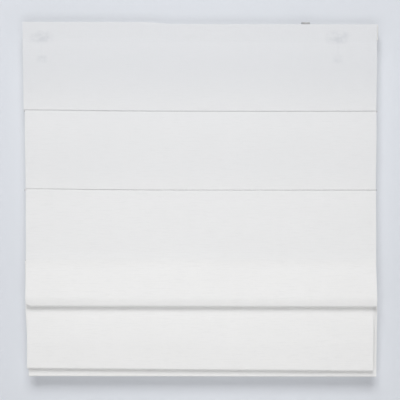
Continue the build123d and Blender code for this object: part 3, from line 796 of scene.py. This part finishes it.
def cloth_runs(settings):
    """The cloth's path from the hem's edge to the bar pocket, as runs between its borders.

    Each run is its corners and the radii that they are rounded to.
    """
    half = settings.thickness / 2
    z1, z2, z3, z4 = ROD_Z.values()
    gap, below = TUCK_GAP, TUCK_BELOW
    top, bottom = CLOTH_HIGH.z - half, CLOTH_LOW.z + half
    hem_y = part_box("loop_tape")[0].y - half
    panel_y = hem_y - settings.thickness - SEWN_GAP

    # The layers behind one another, from the last panel forwards
    last_y = panel_y + LAST_PANEL_BACK
    back_2 = last_y - LAYER_PITCH
    front_2 = back_2 - LAYER_PITCH
    back_1 = front_2 - LAYER_PITCH
    front_1 = CLOTH_LOW.y + half
    over_stack = (back_1 - 2.8 * MM, z3 - 2 * MM)

    # The front fold, the second fold and the last panel: where each bends, and its foot
    face_1 = (front_1, FOLD_1_Z + 18 * MM)
    foot_1, foot_1_z = front_1 + FOLD_1_FOOT, FOLD_1_Z + half
    under_1 = ((foot_1 + back_1) / 2, foot_1_z)
    head_2, belly_2 = (front_2, FOLD_1_Z - 17 * MM), (front_2 - 4.7 * MM, FOLD_1_Z - 82 * MM)
    foot_2, foot_2_z = front_2 - FOLD_2_FORWARD, FOLD_2_Z + half
    foot_2_back = foot_2 + 2.1 * FOLD_2_RADIUS
    under_2 = ((foot_2 + foot_2_back) / 2, foot_2_z)
    back_bend_2 = (back_2, FOLD_1_Z - 7 * MM)
    bar_y = last_y + BAR_BACK
    last_bend, bar_bend = (last_y, FOLD_1_Z + 13 * MM), (bar_y, FOLD_1_Z - 67 * MM)
    pocket_y = bar_y + settings.thickness + POCKET_DEPTH
    seam_y = bar_y + settings.thickness + SEWN_GAP

    return {
        "panel_1": (
            [(hem_y, top - HEM_DEPTH), (hem_y, top), (panel_y, top), (panel_y, z1 + gap)],
            [0.45 * MM, 0.45 * MM],
        ),
        "tuck_1": tuck(panel_y, panel_y, z1, z1 + gap, z1 - gap),
        "panel_2": ([(panel_y, z1 - gap), (panel_y, z2 + gap)], []),
        "tuck_2": tuck(panel_y, panel_y, z2, z2 + gap, z2 - gap),
        "fold_1_front": (
            [(panel_y, z2 - gap), over_stack, face_1, (foot_1, foot_1_z), under_1],
            [200 * MM, 40 * MM, FOLD_1_RADIUS],
        ),
        "fold_1_back": ([under_1, (back_1, foot_1_z), (back_1, z3 - below)], [FOLD_1_RADIUS]),
        "tuck_3": tuck(back_1, front_2, z3, z3 - below, z3 - below),
        "fold_2_front": (
            [(front_2, z3 - below), head_2, belly_2, (foot_2, foot_2_z), under_2],
            [200 * MM, 250 * MM, FOLD_2_RADIUS],
        ),
        "fold_2_back": (
            [under_2, (foot_2_back, foot_2_z), back_bend_2, (back_2, z4 - below)],
            [FOLD_2_RADIUS, 300 * MM],
        ),
        "tuck_4": tuck(back_2, last_y, z4, z4 - below, z4 - below),
        "last_panel": (
            [
                (last_y, z4 - below),
                last_bend,
                bar_bend,
                (bar_y, bottom),
                (pocket_y, bottom),
                (pocket_y, CLOTH_LOW.z + POCKET_CLOSING),
                (seam_y, CLOTH_LOW.z + POCKET_CLOSED),
                (seam_y, CLOTH_LOW.z + POCKET_TOP),
            ],
            [300 * MM, 300 * MM, 2.1 * MM, 2.1 * MM, 3 * MM, 3 * MM],
        ),
    }


def cloth_holds():
    """What each run of cloth rests on, its kind, and the body it rides on, or the two
    bodies it lies between and two heights."""
    z1, z2, z3, z4 = ROD_Z.values()
    hem, out_1, out_2 = CLOTH_HIGH.z - HEM_DEPTH, z1 - TUCK_GAP, z2 - TUCK_GAP
    in_1, in_2, in_3, in_4 = z1 + TUCK_GAP, z2 + TUCK_GAP, z3 - TUCK_BELOW, z4 - TUCK_BELOW
    first, second, third, fourth = BODY_OF_ROD.values()
    unroll_1, unroll_2 = 2 * FOLD_1_Z, 2 * FOLD_2_Z
    return {
        "panel_1": (["loop_tape"], "panel", "headrail", first, hem, in_1),
        "tuck_1": (["rod_1"], "tuck", first),
        "panel_2": (["rod_1"], "panel", first, second, out_1, in_2),
        "tuck_2": (["rod_2"], "tuck", second),
        "fold_1_front": (["rod_2"], "front", second, third, out_2, unroll_1 - out_2),
        "fold_1_back": (["rod_3"], "front", second, third, unroll_1 - in_3, in_3),
        "tuck_3": (["rod_3"], "stack", third),
        "fold_2_front": (["rod_3"], "second_front", third, fourth, in_3, unroll_2 - in_3),
        "fold_2_back": (["rod_4"], "second_back", third, fourth, unroll_2 - in_4, in_4),
        "tuck_4": (["rod_4"], "stack", fourth),
        "last_panel": (["rod_4", "bottom_bar"], "last", fourth),
    }


def hold(piece, upper, lower=None, start=None, end=None):
    """Rides the piece on its body, or, with two bodies, only bakes its place into its mesh."""
    if lower is None:
        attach(piece, upper)
    else:
        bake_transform(piece)


def ring_faces(rings, sides, base=0):
    """Quads between rings of points, which start at point number base."""
    faces = []
    for start in range(base, base + (rings - 1) * sides, sides):
        for k in range(sides):
            a, b = start + k, start + (k + 1) % sides
            faces.append((a, b, b + sides, a + sides))
    return faces


def closed_faces(rings, sides, base=0):
    """The same, with a flat face on each end."""
    last = base + (rings - 1) * sides
    ends = [tuple(reversed(range(base, base + sides))), tuple(range(last, last + sides))]
    return ring_faces(rings, sides, base) + ends


def tube(name, line, radius, sides, material, lie_start=0.0):
    """A closed round tube along a line of points."""
    points, lie = [], []
    length = lie_start
    side_way = None
    for i, here in enumerate(line):
        ahead = (line[min(i + 1, len(line) - 1)] - line[max(i - 1, 0)]).normalized()
        if side_way is None:
            side_way = ahead.orthogonal().normalized()
        side_way = (side_way - ahead * side_way.dot(ahead)).normalized()
        up_way = ahead.cross(side_way)
        if i:
            length += (here - line[i - 1]).length
        for k in range(sides):
            angle = 2 * math.pi * k / sides
            points.append(here + radius * (math.cos(angle) * side_way + math.sin(angle) * up_way))
            lie.append((k / sides, length, 0.0))
    return mesh_piece(name, points, closed_faces(len(line), sides), material, lie)


def stitch_row(name, places, length, out, along, radius, material):
    """A row of short, slightly arched stitches, each a small closed lozenge."""
    sides = 6
    # Place along the stitch, then shares of its radius: how thick it is, and how high it stands
    rings = ((-0.5, 0.25, -0.4), (-0.3, 1.0, 0.3), (0.3, 1.0, 0.3), (0.5, 0.25, -0.4))
    points, faces = [], []
    across = out.cross(along).normalized()
    for here in places:
        faces += closed_faces(len(rings), sides, len(points))
        for place, share, rise in rings:
            centre = here + along * (place * length) + out * (radius * rise)
            for k in range(sides):
                angle = 2 * math.pi * k / sides
                ring = across * math.cos(angle) + out * math.sin(angle)
                points.append(centre + ring * (radius * share))
    return mesh_piece(name, points, faces, material)


class BLIND_OT_cloth(bpy.types.Operator):
    """Hang the cloth: its panels, rod tucks, folds and bar pocket"""

    bl_idname = "blind.cloth"
    bl_label = "Cloth"

    def execute(self, context):
        settings = context.scene.blind_cloth
        material = cloth_finish(settings)
        drape = Drape(settings)
        holds = cloth_holds()
        length = 0.0
        for name, (points, radii) in cloth_runs(settings).items():
            rests_on, kind, *bodies = holds[name]
            step = settings.grid / 2 if "tuck" in name else settings.grid
            path = rounded(points, radii, step)
            piece, end = sheet_piece(f"cloth_{name}", path, length, kind, drape, material)
            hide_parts("cloth")
            hold(piece, *bodies)
            length = end
        return {"FINISHED"}


class BLIND_OT_stitching(bpy.types.Operator):
    """Sew the rod tucks and the bar pocket"""

    bl_idname = "blind.stitching"
    bl_label = "Stitching"

    def execute(self, context):
        settings = context.scene.blind_cloth
        material = thread_finish(settings)
        thread_radius, edge = 0.22 * MM, 3 * MM
        pitch, shown_share = settings.stitch, 0.78
        count = int((CLOTH_WIDTH - 2 * edge) / pitch)
        along = Vector((1, 0, 0))

        def row(name, y, z, out, body, shift=0.0):
            xs = [CLOTH_LOW.x + edge + (i + 0.5) * pitch + shift for i in range(count)]
            places = [Vector((x, y, z)) for x in xs]
            length = pitch * shown_share
            piece = stitch_row(name, places, length, out, along, thread_radius, material)
            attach(piece, body)

        neck_y, neck_half = TUCK_NECK_Y - 1.2 * MM, 1.0 * MM
        for rod, body in BODY_OF_ROD.items():
            for name, up in (("upper", 1), ("lower", -1)):
                z = ROD_Z[rod] + up * neck_half
                row(f"{rod}_stitches_{name}", neck_y, z, Vector((0, 0, up)), body)

        corners = cloth_runs(settings)["last_panel"][0]
        pocket_y, panel_y = corners[-1][0], corners[3][0]
        seam_z = CLOTH_LOW.z + (POCKET_CLOSED + POCKET_TOP) / 2
        shift = 0.7 * settings.last_panel_shift
        for name, layer_y, back in (("back", pocket_y, 1), ("front", panel_y, -1)):
            y = layer_y + back * settings.thickness / 2
            out = Vector((0, back, 0))
            row(f"pocket_stitches_{name}", y, seam_z, out, "fourth_rod", shift)
        return {"FINISHED"}


class BLIND_OT_lift_cords(bpy.types.Operator):
    """Run the two lift cords from their drums down through the clips to their stops"""

    bl_idname = "blind.lift_cords"
    bl_label = "Lift cords"

    def execute(self, context):
        finishes = context.scene.blind_finishes
        material = cord_finish()
        bodies = ["headrail", *BODY_OF_ROD.values()]
        rods = list(ROD_Z.values())
        step, fewest, sides = 2.5 * MM, 8, 10
        for side, place in CORDS.items():
            low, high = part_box(f"lift_cord_{side}")
            borders = [high.z, *rods[:3], low.z]
            for i, rod_z in enumerate(rods):
                upper, lower = borders[i], borders[i + 1]
                count = max(fewest, round((upper - lower) / step))
                heights = [upper + (lower - upper) * k / count for k in range(count + 1)]
                line = [Vector((place.x, place.y, z)) for z in heights]
                name = f"lift_cord_{side}_run_{i + 1}"
                piece = tube(name, line, finishes.cord_radius, sides, material, high.z - upper)
                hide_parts(f"lift_cord_{side}")
                hold(piece, bodies[i], bodies[i + 1], upper, rod_z)
        return {"FINISHED"}


class BLIND_OT_windings(bpy.types.Operator):
    """Wind the turns of cord on each drum"""

    bl_idname = "blind.windings"
    bl_label = "Cord windings"

    def execute(self, context):
        finishes = context.scene.blind_finishes
        material = bpy.data.materials["braided_cord"]
        radius = finishes.cord_radius
        for side in CORDS:
            low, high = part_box(f"cord_winding_{side}")
            axis = (low + high) / 2
            coil = (high.y - low.y) / 2 - radius
            start, end = low.x + radius, high.x - radius
            steps_a_turn, sides = 28, 8
            steps = finishes.cord_turns * steps_a_turn
            line = []
            for i in range(steps + 1):
                angle = 2 * math.pi * i / steps_a_turn
                x = start + (end - start) * i / steps
                y, z = axis.y - coil * math.cos(angle), axis.z + coil * math.sin(angle)
                line.append(Vector((x, y, z)))
            piece = tube(f"cord_turns_{side}", line, radius, sides, material)
            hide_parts(f"cord_winding_{side}")
            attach(piece, "drive")
        return {"FINISHED"}


class BLIND_OT_screws(bpy.types.Operator):
    """Put the wall screws' heads in the brackets"""

    bl_idname = "blind.screws"
    bl_label = "Wall screws"

    def execute(self, context):
        finishes = context.scene.blind_finishes
        material = zinc_plate(finishes.zinc)
        for side in ("left", "right"):
            low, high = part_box(f"bracket_{side}")
            x = (low.x + high.x) / 2
            for place, z in (("upper", SCREW_Z), ("lower", -SCREW_Z)):
                piece = screw_head(f"wall_screw_{side}_{place}", x, high.y, z, material)
                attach(piece, "headrail")
        return {"FINISHED"}


def screw_head(name, x, wall_y, z, material):
    """A pan-head screw with a cross recess: a domed head, then a shank back to the wall."""
    sides = 32
    points = []
    for radius, height in SCREW_PROFILE:
        for k in range(sides):
            angle = 2 * math.pi * k / sides
            cross = abs(math.cos(2 * angle)) ** 3 if radius < RECESS_RADIUS else 0
            reach = radius * (1 + 0.5 * cross) * MM
            y = wall_y - (height - RECESS_DEPTH * cross) * MM
            points.append((x + reach * math.cos(angle), y, z + reach * math.sin(angle)))
    faces = ring_faces(len(SCREW_PROFILE), sides)
    last, crown, foot = len(points) - sides, len(points), len(points) + 1
    points += [(x, wall_y - RECESS_FLOOR * MM, z), (x, wall_y, z)]
    for k in range(sides):
        after = (k + 1) % sides
        faces += [(crown, after, k), (foot, last + k, last + after)]
    return mesh_piece(name, points, faces, material)


FINISH_OF_NODE = (
    ("headrail", "rail"),
    (("end_cap", "bar_cap"), "white"),
    (("bracket", "cam_rivet"), "zinc"),
    ("cam", "cam"),
    ("hook_tape", "hooks"),
    ("loop_tape", "loops"),
    (("drive_shaft", "motor_arbor"), "shaft"),
    (("drum_cradle", "shaft_support", "motor_case", "motor_cover"), "mechanism"),
    ("drum", "drum"),
    (("power_spring", "brake_spring"), "spring"),
    ("bottom_bar", "bar"),
    (("cord_guide", "cord_stop"), "clear"),
)


class BLIND_OT_finishes(bpy.types.Operator):
    """Give the rail, brackets, mechanism, rods and bar their finishes"""

    bl_idname = "blind.finishes"
    bl_label = "Finishes"

    def execute(self, context):
        finishes = context.scene.blind_finishes
        made = {
            "rail": powder_coat("rail_powder_coat", finishes.rail),
            "white": moulded("white_moulding", finishes.plastic),
            "clear": moulded("clear_moulding", (0.78, 0.79, 0.79), 0.25),
            "mechanism": moulded("mechanism_moulding", finishes.mechanism, 0.5, 0.04),
            "drum": moulded("drum_moulding", (0.78, 0.78, 0.76), 0.4),
            "cam": moulded("cam_moulding", (0.05, 0.05, 0.055), 0.45, 0.04),
            "zinc": bpy.data.materials["zinc_plate"],
            "hooks": tape_finish("hook_tape_field", (0.72, 0.72, 0.71), 900, 0.5 * MM),
            "loops": tape_finish("loop_tape_field", (0.8, 0.8, 0.79), 700, 0.4 * MM),
            "shaft": drawn_metal("bright_shaft", (0.62, 0.62, 0.61), 0.3, (20, 900, 900)),
            "rod": drawn_metal("drawn_rod", (0.5, 0.5, 0.5), 0.33, (25, 1200, 1200)),
            "spring": drawn_metal("spring_strip", (0.4, 0.4, 0.42), 0.28, (900, 80, 80)),
            "bar": drawn_metal("mill_aluminium", (0.72, 0.72, 0.73), 0.4, (15, 700, 700)),
        }
        for name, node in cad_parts.items():
            other = "white" if "clip" in name else "rod"
            listed = (finish for starts, finish in FINISH_OF_NODE if name.startswith(starts))
            wanted = made[next(listed, other)]
            for slot in node.material_slots:
                slot.material = wanted
        return {"FINISHED"}


class BLIND_OT_stage(bpy.types.Operator):
    """Set the plain wall, the floor, the soft lamps and the camera"""

    bl_idname = "blind.stage"
    bl_label = "Stage"

    def execute(self, context):
        settings = context.scene.blind_stage
        ends = (-ROOM_HALF, ROOM_HALF)
        corners = [(x, WALL_Y, FLOOR_Z) for x in ends]
        corners += [(x, WALL_Y, ROOM_TOP) for x in reversed(ends)]
        paint = wall_finish("wall_paint", settings.wall, True)
        wall = mesh_piece("wall", corners, [(0, 1, 2, 3)], paint)
        corners = [(x, -ROOM_HALF, FLOOR_Z) for x in ends]
        corners += [(x, ROOM_HALF, FLOOR_Z) for x in reversed(ends)]
        paint = wall_finish("floor_paint", (0.8, 0.8, 0.8), False)
        floor = mesh_piece("floor", corners, [(0, 1, 2, 3)], paint)

        lamp("high_lamp", (-0.15, -2.8, 2.1), aim=(0.03, 0, -0.5), size=(1.9, 1.6), power=settings.key)
        lamp("low_lamp", (0.03, -1.7, -0.85), aim=(0.03, 0, -0.6), size=(1.2, 0.6), power=settings.fill)
        lamp("back_lamp", (0.5, 2.4, 0.9), aim=(0.03, 0, -0.4), size=(1.8, 1.4), power=settings.back)

        world = bpy.data.worlds.new("plain_room")
        context.scene.world = world
        world.use_nodes = True
        background = world.node_tree.nodes["Background"]
        background.inputs["Color"].default_value = (0.97, 0.98, 1.0, 1)
        background.inputs["Strength"].default_value = settings.world
        context.scene.view_settings.view_transform = "Standard"
        set_camera(context)
        return {"FINISHED"}


def wall_finish(name, colour, open_from_behind):
    """Flat paint with a fine roller texture. The wall is clear from behind, and to stray light."""
    made = Finish(name, roughness=0.9, specular=0.2)
    place = made.place()
    cloud = made.noise(place, 1.5, 3.0, 0.5)
    made.set("Base Color", made.mix(cloud.rise(0.3, 0.7), colour, darker(colour, 0.985)))
    made.bump(made.noise(place, 400, 2.0), 0.05 * MM, 0.3)
    if open_from_behind:
        behind = made.node("ShaderNodeNewGeometry", output="Backfacing")
        rays = ("Is Camera Ray", "Is Glossy Ray", "Is Transmission Ray")
        seen = sum(made.node("ShaderNodeLightPath", output=ray) for ray in rays)
        clear = made.node("ShaderNodeBsdfTransparent")
        solid = Wire(made, made.shader.outputs[0])
        shown = seen.least(1.0) * (1 - behind)
        mixed = made.node("ShaderNodeMixShader", {}, {0: shown, 1: clear, 2: solid})
        made.link(made.tree.nodes["Material Output"].inputs[0], mixed)
    return made.material


def lamp(name, place, aim, size, power):
    data = bpy.data.lights.new(name, "AREA")
    data.shape = "RECTANGLE"
    data.size, data.size_y = size
    data.energy = power
    made = put(name, data)
    made.location = place
    way = Vector(aim) - Vector(place)
    made.rotation_euler = way.to_track_quat("-Z", "Y").to_euler()


def set_camera(context):
    """The photograph's viewpoint: a long lens, straight on and a touch above the middle."""
    data = bpy.data.cameras.new("camera")
    data.sensor_width = 36
    data.lens = CAMERA_LENS
    data.clip_start = 0.05
    camera = put("camera", data)
    pitch, yaw, roll = (math.radians(a) for a in CAMERA_TURN)
    ahead = Vector(
        (math.sin(yaw) * math.cos(pitch), math.cos(yaw) * math.cos(pitch), -math.sin(pitch))
    )
    right = Vector((math.cos(yaw), -math.sin(yaw), 0))
    up = right.cross(ahead)
    tilted = math.cos(roll) * right + math.sin(roll) * up
    raised = -math.sin(roll) * right + math.cos(roll) * up
    turn = Matrix((tilted, raised, -ahead)).transposed()
    camera.matrix_world = Matrix.Translation(CAMERA_PLACE) @ turn.to_4x4()
    context.scene.camera = camera


STEPS = (
    BLIND_OT_cloth,
    BLIND_OT_stitching,
    BLIND_OT_lift_cords,
    BLIND_OT_windings,
    BLIND_OT_screws,
    BLIND_OT_finishes,
    BLIND_OT_stage,
)


class BLIND_PT_panel(bpy.types.Panel):
    """The blind's sizes, colours and steps"""

    bl_idname = "BLIND_PT_panel"
    bl_label = "Roman Blind"
    bl_space_type = "VIEW_3D"
    bl_region_type = "UI"
    bl_category = "Roman Blind"

    def draw(self, context):
        scene = context.scene
        for group in (scene.blind_cloth, scene.blind_finishes, scene.blind_stage):
            box = self.layout.box()
            for key in group.bl_rna.properties.keys():
                if key not in ("rna_type", "name"):
                    box.prop(group, key)
        for step in STEPS:
            self.layout.operator(step.bl_idname)


GROUPS = {"blind_cloth": BlindCloth, "blind_finishes": BlindFinishes, "blind_stage": BlindStage}


def register():
    for cls in (*GROUPS.values(), *STEPS, BLIND_PT_panel):
        bpy.utils.register_class(cls)
    for key, group in GROUPS.items():
        setattr(bpy.types.Scene, key, PointerProperty(type=group))


def unregister():
    for key in GROUPS:
        delattr(bpy.types.Scene, key)
    for cls in (BLIND_PT_panel, *reversed(STEPS), *reversed(list(GROUPS.values()))):
        bpy.utils.unregister_class(cls)


def main():
    register()
    bpy.ops.blind.cloth()
    bpy.ops.blind.stitching()
    bpy.ops.blind.lift_cords()
    bpy.ops.blind.windings()
    bpy.ops.blind.screws()
    bpy.ops.blind.finishes()
    bpy.ops.blind.stage()


if __name__ == "__main__":
    main()
